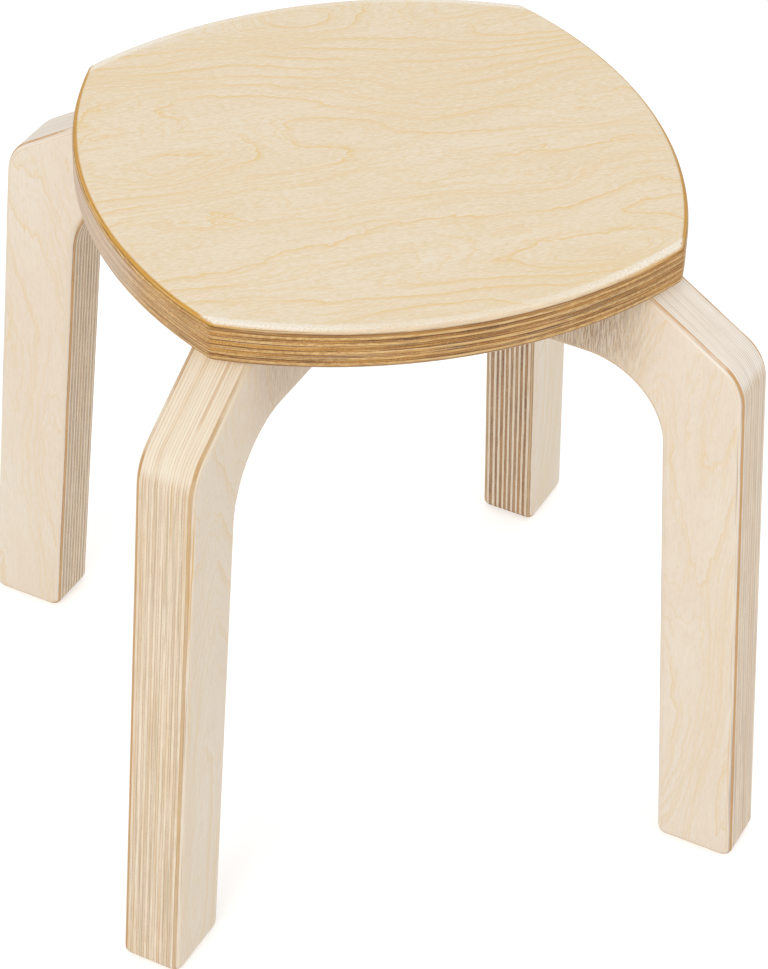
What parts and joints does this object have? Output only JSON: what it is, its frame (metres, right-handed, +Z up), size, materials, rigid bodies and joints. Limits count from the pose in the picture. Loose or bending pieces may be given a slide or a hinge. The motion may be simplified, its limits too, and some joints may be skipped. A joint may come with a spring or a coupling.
{
  "type": "stacking stool",
  "caption": "Low plywood stacking stool: a square seat with bowed sides on crossed arch frames whose splayed legs stand outside its corners.",
  "frame": {"origin": "on the floor, under the middle of the seat", "axes": "+Z up; the seat's sides face X and Y, and the two arch frames stand on the diagonals; -Y is the front"},
  "size_m": [0.285, 0.285, 0.3],
  "materials": {
    "seat_plywood": "birch plywood under clear satin lacquer",
    "arch_plywood": "thick birch plywood under clear satin lacquer, plies showing on the edges",
    "beech": "fluted beech dowel, unfinished",
    "zinc_plated_steel": "bright zinc plate"
  },
  "bodies": {
    "root": {"seat_panel": "seat_plywood", "arch_frame_under": "arch_plywood", "arch_frame_over": "arch_plywood", "seat_dowel_front_left": "beech", "seat_dowel_front_right": "beech", "seat_dowel_back_right": "beech", "seat_dowel_back_left": "beech", "seat_screw_front_left": "zinc_plated_steel", "seat_screw_front_right": "zinc_plated_steel", "seat_screw_back_right": "zinc_plated_steel", "seat_screw_back_left": "zinc_plated_steel"}
  },
  "joints": []
}
